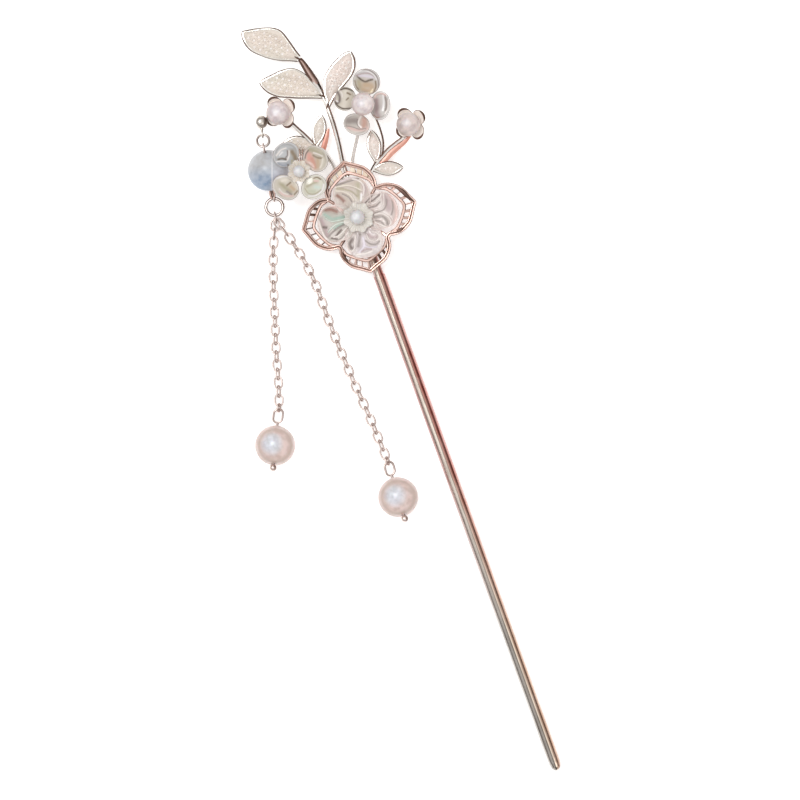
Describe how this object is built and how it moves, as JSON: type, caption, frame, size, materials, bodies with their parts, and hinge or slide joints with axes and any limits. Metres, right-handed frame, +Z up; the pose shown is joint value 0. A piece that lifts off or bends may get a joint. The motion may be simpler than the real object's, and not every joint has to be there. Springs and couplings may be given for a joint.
{
  "type": "buyao hairpin",
  "caption": "Long hair stick headed by an openwork metal flower with a spray of leaves, clear blossoms and pearls, and a bead drop with two chains that end in pearls.",
  "frame": {"origin": "on the hair stick's axis at the end of its bare shaft, just below the big flower; the flat surface the piece lies on is the plane 1.2 mm below the origin", "axes": "-Y along the stick towards its tip, +Y to the flower, sprays and leaf tips, +Z up from the surface it lies on to the flower's face, +X to the wearer's right seen face on"},
  "size_m": [0.0543, 0.1601, 0.0103],
  "materials": {
    "stick_metal": "polished champagne gold",
    "rose_metal": "polished rose gold",
    "silver_metal": "polished silver with a rose tint",
    "chain_metal": "polished pale rose gold",
    "shell": "carved, pearly, glossy",
    "clear_petal": "clear, smoky, glossy",
    "clear_cup": "clear, cream, glossy",
    "leaf_fill": "fine glossy granules",
    "small_pearl": "pearl, soft gloss",
    "drop_pearl": "pearl, soft gloss",
    "blue_stone": "translucent chalcedony, glossy"
  },
  "bodies": {
    "root": {"hair_stick": "stick_metal", "flower_frame": "rose_metal", "shell_flower": "shell", "stamen_cup": "clear_cup", "centre_pearl": "small_pearl", "leaf_sprig": "silver_metal", "top_leaf_fill": "leaf_fill", "left_leaf_fill": "leaf_fill", "right_leaf_fill": "leaf_fill", "left_branch": "rose_metal", "left_small_fill": "leaf_fill", "back_leaf_fill": "leaf_fill", "left_pearl": "small_pearl", "right_branch": "rose_metal", "right_small_fill_a": "leaf_fill", "right_small_fill_b": "leaf_fill", "right_pearl": "small_pearl", "upper_flower": "clear_petal", "upper_flower_pearl": "small_pearl", "upper_flower_wire": "silver_metal", "lower_flower": "clear_petal", "lower_flower_cup": "clear_cup", "lower_flower_pearl": "small_pearl", "lower_flower_wire": "silver_metal", "hanger_ball": "silver_metal", "hanger_ring": "silver_metal", "bead_pin": "silver_metal", "blue_bead": "blue_stone", "drop_ring": "chain_metal", "fork_link": "chain_metal", "chain_left": "chain_metal", "chain_right": "chain_metal", "left_drop_ring": "chain_metal", "left_drop_pin": "chain_metal", "left_drop_pearl": "drop_pearl", "right_drop_ring": "chain_metal", "right_drop_pin": "chain_metal", "right_drop_pearl": "drop_pearl"}
  },
  "joints": []
}
